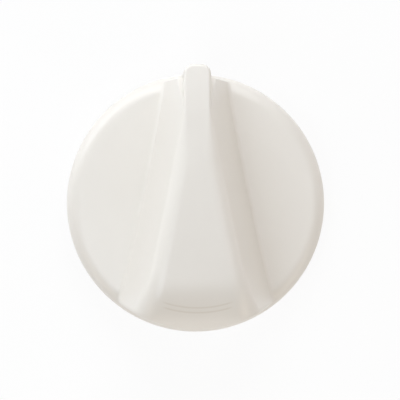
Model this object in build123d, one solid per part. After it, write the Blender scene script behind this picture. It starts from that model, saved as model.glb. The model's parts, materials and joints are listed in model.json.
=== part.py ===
"""Stove knob: a moulded skirt and wedge grip in one piece, with a spring clip in its D socket.

Millimetres and degrees. The origin is the centre of the rear rim, +Z points out of the front
face and the pointer nose of the grip points along +Y.
"""

import os
from math import cos, radians, sin, sqrt, tan

from build123d import *

# Skirt
SKIRT_DIAMETER = 52.0
SKIRT_SIDE_HEIGHT = 7.4
SKIRT_CROWN_HEIGHT = 9.4
SKIRT_DRAFT = 2.0
RIM_ROUNDING = 3.4
WALL = 2.2

# Grip
KNOB_HEIGHT = 25.5
GRIP_TOP_WIDTH = 11.2
FLANK_SPLAY = 11.8
FLANK_LEAN = 17.0
RIM_LEDGE = 0.6
END_DRAFT = 2.0
ARCH_RADIUS = 125.0
ARCH_APEX = -5.0
BLEND_START = 8.0
FALL_START = 18.0
FALL_SLOPE = 53.0
TAIL_ROUNDING = 13.0
EDGE_ROUNDING = 3.6
END_ROUNDING = 1.0
PROW_ROUNDING = 0.5
FOOT_FILLET = 1.2
CORE_CORNER = 0.8

# Pointer nose
NOSE_WIDTH = 5.7
NOSE_DRAFT = 0.5
NOSE_CORNER = 2.0
NOSE_OVERHANG = 1.2
NOSE_ROOT = 1.0
NOSE_SINK = 0.04
NOSE_ROUNDING = 0.6

# Hub, socket and ribs
STEM_DIAMETER = 8.0
STEM_FLAT = 2.5
STEM_CLEARANCE = 0.05
SOCKET_DEPTH = 19.0
SOCKET_LEAD = 0.6
HUB_WALL = 2.45
HUB_RECESS = 1.0
RIB_THICKNESS = 1.4
RIB_RECESS = 4.0

# Spring clip and the places cut for it
CLIP_STEEL = 0.4
CLIP_WIDTH = 3.2
CLIP_SHORT_LEG = 7.8
CLIP_BOW = 0.45
CLIP_PLAY = 0.15
WEB_THICKNESS = 1.0
WEB_RECESS = 1.2
GROOVE_DEPTH = 0.6
SLOT_DEPTH = 13.0
SLOT_SPARE = 0.8

# Sizes that follow from the ones above
RIM_RADIUS = SKIRT_DIAMETER / 2
END_RADIUS = RIM_RADIUS - RIM_LEDGE
ROLL_Y = TAIL_ROUNDING - RIM_RADIUS
NOSE_REACH = RIM_RADIUS + NOSE_OVERHANG
NOSE_LENGTH = NOSE_REACH - FALL_START + NOSE_ROOT
SPLAY = tan(radians(FLANK_SPLAY))
LEAN = tan(radians(FLANK_LEAN)) / cos(radians(FLANK_SPLAY))
SOCKET_RADIUS = STEM_DIAMETER / 2 + STEM_CLEARANCE
SOCKET_FLAT = STEM_FLAT + STEM_CLEARANCE
HUB_RADIUS = SOCKET_RADIUS + HUB_WALL
GROOVE_FLOOR = SOCKET_FLAT + GROOVE_DEPTH
SLOT_NEAR = GROOVE_FLOOR + WEB_THICKNESS
SLOT_FAR = SLOT_NEAR + CLIP_STEEL + 2 * CLIP_PLAY
SLOT_WIDTH = CLIP_WIDTH + 2 * CLIP_PLAY
SLOT_END = HUB_RECESS + SLOT_DEPTH
WEB_END = HUB_RECESS + WEB_RECESS
CLIP_LENGTH = SLOT_END - SLOT_SPARE - WEB_END
TINY = 0.01
UPWARD = (Align.CENTER, Align.CENTER, Align.MIN)


def middle(edge):
    return edge.position_at(0.5)


def box_between(low, high):
    """Square-cornered block from one corner to the opposite one."""
    size = [b - a for a, b in zip(low, high)]
    block = Box(*size, align=(Align.MIN, Align.MIN, Align.MIN))
    return Pos(*low) * block


def skirt_form(inset, rounding):
    """Round dish on the rear rim plane, drawn in by inset on its side and its dome."""
    foot = RIM_RADIUS - inset
    side = SKIRT_SIDE_HEIGHT - inset
    crown = SKIRT_CROWN_HEIGHT - inset
    edge = foot - side * tan(radians(SKIRT_DRAFT))
    rise = crown - side
    dome_radius = (edge ** 2 + rise ** 2) / (2 * rise)
    with BuildSketch(Plane.XZ) as section:
        with BuildLine():
            Polyline((0, crown), (0, 0), (foot, 0), (edge, side))
            RadiusArc((edge, side), (0, crown), -dome_radius)
        make_face()
    dish = revolve(section.sketch, Axis.Z)
    rim = [e for e in dish.edges().filter_by(GeomType.CIRCLE) if e.center().Z > side / 2]
    return fillet(rim, rounding)


def arch_height(y, sink):
    """Height of the arched back at y, lowered by sink."""
    rise = sqrt((ARCH_RADIUS - sink) ** 2 - (y - ARCH_APEX) ** 2)
    return KNOB_HEIGHT - ARCH_RADIUS + rise


def arch_block(sink, front_y):
    """Block as wide as the knob under the arched back, which rolls down at the tail."""
    lean_back = (ROLL_Y - ARCH_APEX) / (ARCH_RADIUS - TAIL_ROUNDING)
    meet_y = ARCH_APEX + (ARCH_RADIUS - sink) * lean_back
    meet = (meet_y, arch_height(meet_y, sink))
    roll = TAIL_ROUNDING - sink
    back = (ROLL_Y - roll, arch_height(ROLL_Y, TAIL_ROUNDING))
    front = (front_y, arch_height(front_y, sink))
    with BuildSketch(Plane.YZ) as section:
        with BuildLine():
            Polyline(front, (front_y, 0), (back[0], 0), back)
            RadiusArc(back, meet, roll)
            RadiusArc(meet, front, ARCH_RADIUS - sink)
        make_face()
    return extrude(section.sketch, RIM_RADIUS, both=True)


def trim(block, point, outward, inset):
    """Cut away what lies beyond the plane through point, moved in by inset."""
    normal = Vector(outward).normalized()
    return split(block, bisect_by=Plane(Vector(point) - normal * inset, z_dir=normal), keep=Keep.BOTTOM)


def wedge_form(inset, fall_inset):
    """Sharp-edged grip from rim to rim, drawn in by inset."""
    base = END_RADIUS - inset
    top = base - KNOB_HEIGHT * tan(radians(END_DRAFT))
    wedge = Cone(base, top, KNOB_HEIGHT, align=UPWARD) & arch_block(inset, RIM_RADIUS)
    for side in (1, -1):
        wedge = trim(wedge, (side * GRIP_TOP_WIDTH / 2, 0, KNOB_HEIGHT), (side, SPLAY, LEAN), inset)
    fall_top = (0, FALL_START, arch_height(FALL_START, 0))
    fall = radians(FALL_SLOPE)
    return trim(wedge, fall_top, (0, sin(fall), cos(fall)), fall_inset)


def long_edges(block):
    """Edges that run along the top of both flanks."""
    high = [e for e in block.edges() if middle(e).Z > KNOB_HEIGHT / 2]
    return [e for e in high if abs(middle(e).X) > TINY and e.bounding_box().size.Y > TINY]


def edges_past(block, y):
    """Edges above the foot of a block whose middles lie past y, towards the nose."""
    return [e for e in block.edges() if middle(e).Z > TINY and middle(e).Y > y]


def grip_form():
    """Grip with its long edges rolled over, the roll dying out from the middle to the fall."""
    wedge = wedge_form(0, 0)
    rear = split(wedge, bisect_by=Plane.ZX.offset(BLEND_START), keep=Keep.BOTTOM)
    rear = fillet(long_edges(rear), EDGE_ROUNDING)
    tail_end = rear.faces().filter_by(GeomType.CONE).sort_by(Axis.Y)[0]
    rear = fillet([e for e in tail_end.edges() if middle(e).Z > TINY], END_ROUNDING)
    prow = split(wedge, bisect_by=Plane.ZX.offset(FALL_START), keep=Keep.TOP)
    prow = fillet(edges_past(prow, FALL_START + TINY), PROW_ROUNDING)
    blend = loft([rear.faces().sort_by(Axis.Y)[-1], prow.faces().sort_by(Axis.Y)[0]], ruled=True)
    return rear + blend + prow


def nose_form():
    """Pointer nose: a narrow upright bar that runs on from the grip, out past the rim."""
    with BuildSketch() as plan:
        with Locations((0, NOSE_REACH - NOSE_LENGTH / 2)):
            Rectangle(NOSE_WIDTH, NOSE_LENGTH)
        fillet(plan.vertices().group_by(Axis.Y)[-1], NOSE_CORNER)
    bar = extrude(plan.sketch, KNOB_HEIGHT, taper=NOSE_DRAFT)
    bar = bar & arch_block(NOSE_SINK, NOSE_REACH)
    crown = bar.faces().filter_by(GeomType.CYLINDER).sort_by(Axis.Z)[-1]
    tip = [e for e in crown.edges() if middle(e).Y > FALL_START]
    return fillet(tip, NOSE_ROUNDING)


# Outside of the knob: the grip grows out of the skirt, then the nose stands on both
skirt = skirt_form(0, RIM_ROUNDING)
grip = grip_form()
outside = skirt + grip
outside = fillet(new_edges(skirt, grip, combined=outside), FOOT_FILLET)
outside = outside + nose_form()

# Hollow of the knob: the same two forms drawn in by the wall, less the hub and its four ribs
core = wedge_form(WALL, NOSE_WIDTH)
core = fillet(long_edges(core), CORE_CORNER)
hollow = skirt_form(WALL, RIM_ROUNDING - WALL) + core
hub = Pos(0, 0, HUB_RECESS) * Cylinder(HUB_RADIUS, KNOB_HEIGHT, align=UPWARD)
rib_across = Pos(0, 0, RIB_RECESS) * Box(SKIRT_DIAMETER, RIB_THICKNESS, KNOB_HEIGHT, align=UPWARD)
rib_along = Pos(0, 0, RIB_RECESS) * Box(RIB_THICKNESS, SKIRT_DIAMETER, KNOB_HEIGHT, align=UPWARD)
hollow = hollow - hub - rib_across - rib_along

# D socket for the valve stem, with a coned lead at its mouth
with BuildSketch(Plane.XY.offset(HUB_RECESS)) as stem_section:
    Circle(SOCKET_RADIUS)
    with Locations((0, SOCKET_FLAT + SOCKET_RADIUS)):
        Rectangle(2 * SOCKET_RADIUS, 2 * SOCKET_RADIUS, mode=Mode.SUBTRACT)
socket = extrude(stem_section.sketch, SOCKET_DEPTH)
lead = Cone(SOCKET_RADIUS + SOCKET_LEAD, SOCKET_RADIUS, SOCKET_LEAD, align=UPWARD)
lead = Pos(0, 0, HUB_RECESS) * lead

# Places for the clip: a groove in the flat, a slot behind it and a lowered web between them
half_slot = SLOT_WIDTH / 2
groove = box_between((-half_slot, 0, HUB_RECESS), (half_slot, GROOVE_FLOOR, SLOT_END))
slot = box_between((-half_slot, SLOT_NEAR, HUB_RECESS), (half_slot, SLOT_FAR, SLOT_END))
dip = box_between((-half_slot, 0, HUB_RECESS), (half_slot, SLOT_FAR, WEB_END))

knob_body = outside - hollow - socket - lead - groove - slot - dip
knob_body.label = "knob_body"

# Spring clip: a flat strip folded over the web, its inner leg bowed towards the stem
outer_y = SLOT_NEAR + CLIP_STEEL / 2
inner_y = GROOVE_FLOOR - CLIP_STEEL / 2
leg_top = WEB_END + CLIP_LENGTH
fold = (SLOT_NEAR - WEB_THICKNESS / 2, WEB_END - (outer_y - inner_y) / 2)
bow = (inner_y - CLIP_BOW, WEB_END + CLIP_LENGTH / 2)
with BuildSketch(Plane.YZ) as strip:
    with BuildLine():
        Line((outer_y, WEB_END + CLIP_SHORT_LEG), (outer_y, WEB_END))
        ThreePointArc((outer_y, WEB_END), fold, (inner_y, WEB_END))
        Spline((inner_y, WEB_END), bow, (inner_y, leg_top), tangents=((0, 1), (0, 1)))
    trace(line_width=CLIP_STEEL)
spring_clip = extrude(strip.sketch, CLIP_WIDTH / 2, both=True)
spring_clip.label = "spring_clip"

os.makedirs("parts", exist_ok=True)
for piece in (knob_body, spring_clip):
    export_step(piece, f"parts/{piece.label}.step")
    print(piece.label, round(piece.volume, 1), piece.bounding_box(), len(piece.solids()), piece.is_valid)
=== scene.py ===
# %% [markdown]
# # A white stove knob, seen from straight above
#
# A stove knob of this kind is one plastic moulding: a round skirt, a wedge-shaped grip across it
# and a narrow pointer nose at the thin end. Inside sits one more piece, a folded spring clip that
# holds the knob on its stem. Both shapes come from the CAD frame. This lesson smooths the moulding,
# gives both their finishes, sets the knob on a white table under soft light and looks down on it.

# %% Load the frame
import json
import math

import bpy
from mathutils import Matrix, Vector

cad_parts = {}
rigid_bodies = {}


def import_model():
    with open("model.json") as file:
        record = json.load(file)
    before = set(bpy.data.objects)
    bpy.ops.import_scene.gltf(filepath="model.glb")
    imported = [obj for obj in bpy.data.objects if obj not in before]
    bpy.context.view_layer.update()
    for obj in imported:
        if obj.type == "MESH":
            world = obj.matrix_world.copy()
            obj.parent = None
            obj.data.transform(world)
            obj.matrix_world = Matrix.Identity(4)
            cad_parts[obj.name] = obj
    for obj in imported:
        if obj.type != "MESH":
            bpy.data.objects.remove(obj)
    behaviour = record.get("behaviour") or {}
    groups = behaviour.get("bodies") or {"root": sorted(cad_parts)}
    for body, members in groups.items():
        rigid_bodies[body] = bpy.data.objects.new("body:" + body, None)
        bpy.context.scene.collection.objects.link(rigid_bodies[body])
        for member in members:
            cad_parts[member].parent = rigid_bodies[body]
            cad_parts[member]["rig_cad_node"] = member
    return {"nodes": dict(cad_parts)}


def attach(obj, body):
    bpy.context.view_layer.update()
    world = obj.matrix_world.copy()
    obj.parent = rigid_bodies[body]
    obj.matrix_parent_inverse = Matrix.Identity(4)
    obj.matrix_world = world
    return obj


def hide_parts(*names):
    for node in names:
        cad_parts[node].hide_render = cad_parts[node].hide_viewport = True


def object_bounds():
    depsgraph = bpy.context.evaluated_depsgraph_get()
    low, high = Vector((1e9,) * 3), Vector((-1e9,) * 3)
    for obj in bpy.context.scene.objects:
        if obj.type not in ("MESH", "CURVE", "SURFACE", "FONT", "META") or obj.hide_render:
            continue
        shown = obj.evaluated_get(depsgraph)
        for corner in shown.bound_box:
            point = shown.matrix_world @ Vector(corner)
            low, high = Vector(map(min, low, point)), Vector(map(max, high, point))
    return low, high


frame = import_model()
frame_low, frame_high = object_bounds()
bpy.ops.object.select_all(action="DESELECT")
print("frame size in mm:", [round(1000 * v, 2) for v in frame_high - frame_low])

# %% [markdown]
# ## The moulding
#
# The real knob leaves a polished mould, so its dome, its rolled edges and its foot flow into each
# other without facets. The frame's mesh has the right shape, but its faces are cut apart along
# every seam of the CAD surfaces, and light would break there. A copy is welded along those seams
# and stands in for the frame's own mesh.

# %% Weld a copy of the moulding
WELD_DISTANCE = 0.000002

cad_body = frame["nodes"]["knob_body"]
cad_body.select_set(True)
bpy.context.view_layer.objects.active = cad_body
bpy.ops.object.duplicate()
moulding = bpy.context.object
moulding.name = "knob_moulding"
del moulding["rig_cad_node"]
bpy.ops.object.mode_set(mode="EDIT")
bpy.ops.mesh.select_all(action="SELECT")
bpy.ops.mesh.remove_doubles(threshold=WELD_DISTANCE)
bpy.ops.object.mode_set(mode="OBJECT")
bpy.ops.mesh.customdata_custom_splitnormals_clear()
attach(moulding, "root")
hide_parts("knob_body")
print("welded", len(cad_body.data.vertices), "points to", len(moulding.data.vertices))

# %% [markdown]
# ## Even shading on the flats
#
# Shading by angle keeps only the true creases, such as the notch beside the nose. Where a wide flat
# meets a narrow rounding, plain smooth shading would still lean the flat's light towards the
# rounding. Weighting each corner by the size of its faces lets the flat win, so the roll of the
# grip's edges starts where it starts on the real knob.

# %% Shade by angle and weigh by face size
CREASE_ANGLE = math.radians(28)

bpy.ops.object.shade_smooth_by_angle(angle=CREASE_ANGLE)
weighting = moulding.modifiers.new("weight by face", "WEIGHTED_NORMAL")
weighting.mode = "FACE_AREA"
weighting.keep_sharp = True
bpy.ops.object.modifier_apply(modifier=weighting.name)
bpy.ops.object.select_all(action="DESELECT")
print("faces shaded by size:", len(moulding.data.polygons))

# %% [markdown]
# ## The spring clip
#
# The clip is a strip of spring steel folded once over a web beside the socket. Its frame mesh is
# small, and its own normals already shade the bend smooth, so it is used as it is.

# %% The clip from the frame
clip = frame["nodes"]["spring_clip"]

# %% [markdown]
# ## Short words for node trees
#
# Materials are small networks, and each one starts the same way. Three helpers keep the cells
# below short: one makes an empty material, one adds a node with some of its sockets filled in, and
# one adds a sum that takes plain numbers or the output of another node.


# %% Helpers for node trees
def empty_material(name):
    material = bpy.data.materials.new(name)
    material.use_nodes = True
    material.node_tree.nodes.clear()
    return material


def add_node(tree, kind, **sockets):
    node = tree.nodes.new("ShaderNode" + kind)
    for name, value in sockets.items():
        socket = node.inputs[name.replace("_", " ")]
        if isinstance(value, bpy.types.NodeSocket):
            tree.links.new(value, socket)
        else:
            socket.default_value = value
    return node


def add_sum(tree, operation, *terms):
    node = tree.nodes.new("ShaderNodeMath")
    node.operation = operation
    for socket, term in zip(node.inputs, terms):
        if isinstance(term, bpy.types.NodeSocket):
            tree.links.new(term, socket)
        else:
            socket.default_value = term
    return node.outputs["Value"]


print("helpers: empty_material, add_node, add_sum")

# %% [markdown]
# ## One mottle for every finish
#
# No moulded, rolled or painted surface is perfectly even. A soft noise, at its own scale and
# between its own limits, breaks up each finish below. Noise seldom leaves the middle of its range,
# so that middle is spread out to the limits. More than one material needs the mottle, so it is
# built once, as a node group with named sockets.

# %% Build the mottle group
NOISE_LOW = 0.3
NOISE_HIGH = 0.7

mottle = bpy.data.node_groups.new("mottle", "ShaderNodeTree")
mottle.interface.new_socket("Place", in_out="INPUT", socket_type="NodeSocketVector")
for name in ("Scale", "Low", "High"):
    mottle.interface.new_socket(name, in_out="INPUT", socket_type="NodeSocketFloat")
mottle.interface.new_socket("Value", in_out="OUTPUT", socket_type="NodeSocketFloat")
given = mottle.nodes.new("NodeGroupInput")
result = mottle.nodes.new("NodeGroupOutput")
noise = add_node(mottle, "TexNoise", Vector=given.outputs["Place"], Scale=given.outputs["Scale"])
spread = add_node(mottle, "MapRange", Value=noise.outputs["Fac"], From_Min=NOISE_LOW, From_Max=NOISE_HIGH)
mottle.links.new(given.outputs["Low"], spread.inputs["To Min"])
mottle.links.new(given.outputs["High"], spread.inputs["To Max"])
mottle.links.new(spread.outputs["Result"], result.inputs["Value"])


def add_mottle(tree, place, scale, low=0.0, high=1.0):
    node = tree.nodes.new("ShaderNodeGroup")
    node.node_tree = mottle
    tree.links.new(place, node.inputs["Place"])
    for name, value in (("Scale", scale), ("Low", low), ("High", high)):
        node.inputs[name].default_value = value
    return node.outputs["Value"]


print("mottle group sockets:", [item.name for item in mottle.interface.items_tree])

# %% [markdown]
# ## The mark across the tail
#
# Across the rolled tail of the knob runs a faint dark double line, concentric with the rim. Along it the
# colour is darkened towards brown, and the bump presses it in. It is far too fine for the mesh. Its mask
# is worked out from the distance to the knob's axis, so it lies on the surface and stays there from every
# side. A least height keeps it off the hollow behind the tail.

# %% Mask of the tail mark
MARK_RADIUS = 0.0208
MARK_HALF_GAP = 0.00048
MARK_LINE = 0.00028
MARK_HALF_LENGTH = 0.0072
MARK_FADE = 0.0015
MARK_ABOVE = 0.0213


def fade_out(tree, value, start, end):
    node = add_node(tree, "MapRange", Value=value, From_Min=start, From_Max=end, To_Min=1.0, To_Max=0.0)
    node.interpolation_type = "SMOOTHSTEP"
    return node.outputs["Result"]


def tail_mark(tree, place):
    axes = add_node(tree, "SeparateXYZ", Vector=place)
    across = add_sum(tree, "ABSOLUTE", axes.outputs["X"])
    squares = [add_sum(tree, "POWER", axes.outputs[axis], 2.0) for axis in ("X", "Y")]
    radius = add_sum(tree, "SQRT", add_sum(tree, "ADD", *squares))
    from_middle = add_sum(tree, "ABSOLUTE", add_sum(tree, "SUBTRACT", radius, MARK_RADIUS))
    from_line = add_sum(tree, "ABSOLUTE", add_sum(tree, "SUBTRACT", from_middle, MARK_HALF_GAP))
    lines = fade_out(tree, from_line, 0.0, MARK_LINE)
    ends = fade_out(tree, across, MARK_HALF_LENGTH - MARK_FADE, MARK_HALF_LENGTH)
    tail_side = add_sum(tree, "LESS_THAN", axes.outputs["Y"], 0.0)
    outside = add_sum(tree, "GREATER_THAN", axes.outputs["Z"], MARK_ABOVE)
    on_tail = add_sum(tree, "MULTIPLY", tail_side, outside)
    return add_sum(tree, "MULTIPLY", add_sum(tree, "MULTIPLY", lines, ends), on_tail)


print("tail mark radius in mm:", 1000 * MARK_RADIUS)

# %% [markdown]
# ## White plastic
#
# The knob is moulded in a smooth plastic that has aged from white to a warm cream. A Principled
# shader does that with a cream colour and a fairly low roughness, so the rim and the rolled edges
# carry soft highlights. The mottle moves the colour by about one part in a hundred, makes the gloss
# a little uneven and raises the slight ripple that moulded plastic has.

# %% Plastic of the moulding
CREAM_DEEP = (0.757, 0.727, 0.677, 1)
CREAM_PALE = (0.773, 0.743, 0.693, 1)
CREAM_SCALE = 70
MARK_BROWN = (0.50, 0.43, 0.33, 1)
MARK_TINT = 0.25
RIPPLE_SCALE = 600
RIPPLE_STRENGTH = 0.15
RIPPLE_DEPTH = 0.00002
GLOSS_SCALE = 250
PLASTIC_SMOOTH = 0.30
PLASTIC_ROUGH = 0.34
PLASTIC_IOR = 1.5


def mix_colour(tree, share, first, second):
    node = tree.nodes.new("ShaderNodeMix")
    node.data_type = "RGBA"
    tree.links.new(share, node.inputs["Factor"])
    ends = [socket for socket in node.inputs if socket.type == "RGBA"]
    for socket, colour in zip(ends, (first, second)):
        if isinstance(colour, bpy.types.NodeSocket):
            tree.links.new(colour, socket)
        else:
            socket.default_value = colour
    return next(socket for socket in node.outputs if socket.type == "RGBA")


def plastic_finish():
    material = empty_material("white_plastic")
    tree = material.node_tree
    place = add_node(tree, "TexCoord").outputs["Object"]
    cream = mix_colour(tree, add_mottle(tree, place, CREAM_SCALE), CREAM_DEEP, CREAM_PALE)
    # The tail mark darkens the colour towards brown along its double line and sinks the line into the
    # bump.
    mark = tail_mark(tree, place)
    tint = add_sum(tree, "MULTIPLY", mark, MARK_TINT)
    colour = mix_colour(tree, tint, cream, MARK_BROWN)
    ripple = add_sum(tree, "SUBTRACT", add_mottle(tree, place, RIPPLE_SCALE), mark)
    bump = add_node(tree, "Bump", Strength=RIPPLE_STRENGTH, Distance=RIPPLE_DEPTH, Height=ripple)
    gloss = add_mottle(tree, place, GLOSS_SCALE, PLASTIC_SMOOTH, PLASTIC_ROUGH)
    shader = add_node(tree, "BsdfPrincipled", Base_Color=colour, Roughness=gloss, IOR=PLASTIC_IOR)
    tree.links.new(bump.outputs["Normal"], shader.inputs["Normal"])
    add_node(tree, "OutputMaterial", Surface=shader.outputs["BSDF"])
    return material


moulding.data.materials.clear()
moulding.data.materials.append(plastic_finish())
print("moulding finish:", moulding.data.materials[0].name)

# %% [markdown]
# ## Spring steel
#
# The clip is cut from bare rolled strip. Rolling leaves fine lines along the strip, so the mottle's
# place is squeezed along the clip's length before it sets the shade of grey, the gloss and a
# shallow bump. Bare steel is fully metallic.

# %% Steel of the clip
STEEL_DARK = (0.53, 0.54, 0.55, 1)
STEEL_LIGHT = (0.59, 0.60, 0.61, 1)
STEEL_SCALE = 1500
LINES_SQUEEZE = (1.0, 1.0, 0.04)
LINES_SCALE = 4000
LINES_STRENGTH = 0.2
LINES_DEPTH = 0.00001
STEEL_SMOOTH = 0.26
STEEL_ROUGH = 0.42


def steel_finish():
    material = empty_material("spring_steel")
    tree = material.node_tree
    place = add_node(tree, "TexCoord").outputs["Object"]
    along = add_node(tree, "Mapping", Vector=place, Scale=LINES_SQUEEZE).outputs["Vector"]
    grey = mix_colour(tree, add_mottle(tree, along, STEEL_SCALE), STEEL_DARK, STEEL_LIGHT)
    lines = add_mottle(tree, along, LINES_SCALE)
    bump = add_node(tree, "Bump", Strength=LINES_STRENGTH, Distance=LINES_DEPTH, Height=lines)
    gloss = add_mottle(tree, along, LINES_SCALE, STEEL_SMOOTH, STEEL_ROUGH)
    shader = add_node(tree, "BsdfPrincipled", Base_Color=grey, Roughness=gloss, Metallic=1.0)
    tree.links.new(bump.outputs["Normal"], shader.inputs["Normal"])
    add_node(tree, "OutputMaterial", Surface=shader.outputs["BSDF"])
    return material


clip.data.materials.clear()
clip.data.materials.append(steel_finish())
print("clip finish:", clip.data.materials[0].name)

# %% [markdown]
# ## The white table
#
# The knob lies on a white sheet with hardly any shadow. A white surface alone would render a soft
# grey, and more light would bleach the knob. So what the camera, or a reflection, sees of the sheet
# is mostly a plain white glow, and the rest is real paint, which keeps a faint shadow. The sheet
# lies a hair below the knob, so that the two never share a plane.

# %% Table
TABLE_SIZE = 4.0
TABLE_GAP = 0.00005
GLOW_SHARE = 0.91
PAPER_SCALE = 12
PAPER_GREY = (0.87, 0.87, 0.87, 1)
PAPER_WHITE = (0.90, 0.90, 0.90, 1)
GLOW_LOW = (0.99, 0.99, 0.99, 1)
GLOW_HIGH = (1.0, 1.0, 1.0, 1)


def paper_finish():
    material = empty_material("white_paper")
    tree = material.node_tree
    place = add_node(tree, "TexCoord").outputs["Object"]
    cloud = add_mottle(tree, place, PAPER_SCALE)
    paint = add_node(tree, "BsdfDiffuse", Color=mix_colour(tree, cloud, PAPER_GREY, PAPER_WHITE))
    glow = add_node(tree, "Emission", Color=mix_colour(tree, cloud, GLOW_LOW, GLOW_HIGH))
    path = add_node(tree, "LightPath")
    mirrored = add_sum(tree, "MAXIMUM", path.outputs["Is Glossy Ray"], path.outputs["Is Transmission Ray"])
    seen = add_sum(tree, "MAXIMUM", path.outputs["Is Camera Ray"], mirrored)
    share = add_sum(tree, "MULTIPLY", seen, GLOW_SHARE)
    mix = add_node(tree, "MixShader")
    tree.links.new(share, mix.inputs[0])
    tree.links.new(paint.outputs["BSDF"], mix.inputs[1])
    tree.links.new(glow.outputs["Emission"], mix.inputs[2])
    add_node(tree, "OutputMaterial", Surface=mix.outputs["Shader"])
    return material


bpy.ops.mesh.primitive_plane_add(size=TABLE_SIZE, location=(0, 0, -TABLE_GAP))
table = bpy.context.object
table.name = "table"
table.data.materials.append(paper_finish())
print("table side in m:", TABLE_SIZE)

# %% [markdown]
# ## Soft light
#
# The tail of the knob goes dark and its nose stays bright, so the main light stands at the top of
# the picture, as a window would. A low softbox on the far left makes the left flank brighter than
# the top of the grip. Two boxes overhead fill the skirt on either side, and two low warm ones on
# the near side keep the rim and the tail from sinking. A weak warm world lifts what is left.

# %% Softboxes and world
LAMP_DISTANCE = 0.6
PLAIN = (0.94, 0.955, 0.985)
COOL = (0.86, 0.93, 1.0)
WARM = (1.0, 0.87, 0.73)
WORLD_COLOUR = (1.0, 0.87, 0.73, 1)
WORLD_STRENGTH = 0.15


def softbox(name, azimuth, elevation, width, height, watts, colour):
    turn = math.radians(azimuth)
    rise = math.radians(elevation)
    toward = Vector((math.cos(turn) * math.cos(rise), math.sin(turn) * math.cos(rise), math.sin(rise)))
    facing = (-toward).to_track_quat("-Z", "Y").to_euler()
    bpy.ops.object.light_add(type="AREA", location=LAMP_DISTANCE * toward, rotation=facing)
    lamp = bpy.context.object
    lamp.name = name
    lamp.data.shape = "RECTANGLE"
    lamp.data.size = width
    lamp.data.size_y = height
    lamp.data.energy = watts
    lamp.data.color = colour
    return lamp


lamps = [
    softbox("window", azimuth=90, elevation=33, width=0.50, height=0.40, watts=2.70, colour=PLAIN),
    softbox("over_left", azimuth=225, elevation=58, width=0.40, height=0.40, watts=1.50, colour=COOL),
    softbox("over_right", azimuth=0, elevation=58, width=0.40, height=0.40, watts=0.60, colour=PLAIN),
    softbox("low_far_left", azimuth=135, elevation=12, width=0.50, height=0.22, watts=1.38, colour=COOL),
    softbox("low_near_left", azimuth=225, elevation=12, width=0.50, height=0.22, watts=0.60, colour=WARM),
    softbox("low_near_right", azimuth=315, elevation=12, width=0.50, height=0.22, watts=0.92, colour=WARM),
]
world = bpy.data.worlds.new("room")
world.use_nodes = True
world.node_tree.nodes["Background"].inputs["Color"].default_value = WORLD_COLOUR
world.node_tree.nodes["Background"].inputs["Strength"].default_value = WORLD_STRENGTH
bpy.context.scene.world = world
print("lamps in watts:", {lamp.name: round(lamp.data.energy, 2) for lamp in lamps})

# %% [markdown]
# ## The camera
#
# The photograph looks straight down with the nose at the top, from a little to the left of the
# axis, so the grip leans to the right by a pixel or two. The rim is a circle of known size, which
# gives the scale of the picture and so the lens for any height of the camera.

# %% Camera
IMAGE_PX = 400
RIM_CENTRE_PX = (195.2, 203.0)
RIM_RADIUS_PX = 128.3
CAMERA_HEIGHT = 0.52
CAMERA_OFFSET = (-0.010, 0.0)

rim_radius = (frame_high.x - frame_low.x) / 2
metres_per_px = rim_radius / RIM_RADIUS_PX
aim = Vector((IMAGE_PX / 2 - RIM_CENTRE_PX[0], RIM_CENTRE_PX[1] - IMAGE_PX / 2, 0)) * metres_per_px
eye = Vector((*CAMERA_OFFSET, CAMERA_HEIGHT))
sight = aim - eye
tilt = (math.asin(sight.y / sight.length), -math.atan2(sight.x, -sight.z), 0)
bpy.ops.object.camera_add(location=eye, rotation=tilt)
camera = bpy.context.object
camera.data.lens = camera.data.sensor_width * CAMERA_HEIGHT / (IMAGE_PX * metres_per_px)
bpy.context.scene.camera = camera
bpy.context.scene.view_settings.view_transform = "Standard"
print("lens in mm:", round(camera.data.lens, 1))
